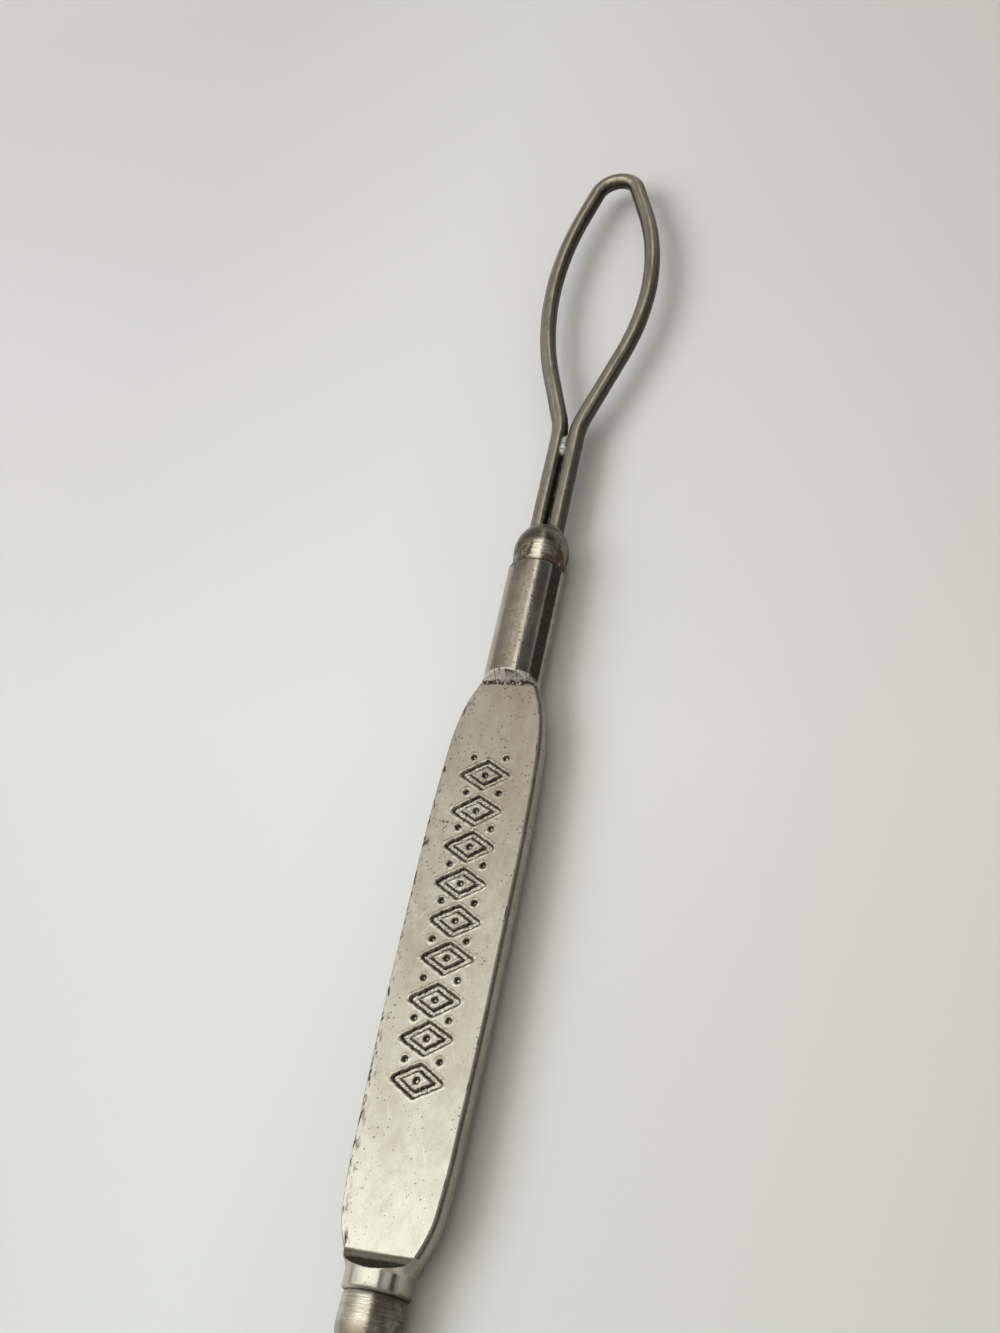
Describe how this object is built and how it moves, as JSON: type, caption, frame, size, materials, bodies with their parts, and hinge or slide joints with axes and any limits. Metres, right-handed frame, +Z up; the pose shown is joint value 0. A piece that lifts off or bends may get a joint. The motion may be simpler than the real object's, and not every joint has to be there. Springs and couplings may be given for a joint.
{
  "type": "button hook",
  "caption": "Steel button hook: a round bar pressed flat in the middle, a turned bead on each end, a bent wire loop at one end and a J-shaped hook at the other.",
  "frame": {"origin": "on the surface that the tool lies on, under the middle of its overall length and under the bar's axis", "axes": "+X along the tool towards the wire loop, +Z up, square to the pressed flat"},
  "size_m": [0.1648, 0.0101, 0.0045],
  "materials": {
    "bar_nickel": "worn satin nickel plate on steel",
    "bead_steel": "turned, with lathe marks and light rust",
    "wire_steel": "drawn wire, dulled",
    "hook_steel": "satin, worn bright at the bend",
    "solder": "dull soft solder"
  },
  "bodies": {
    "root": {"handle_bar": "bar_nickel", "loop_ferrule": "bead_steel", "hook_ferrule": "bead_steel", "loop_wire": "wire_steel", "loop_solder": "solder", "neck_solder": "solder", "hook_solder": "solder", "hook": "hook_steel"}
  },
  "joints": []
}
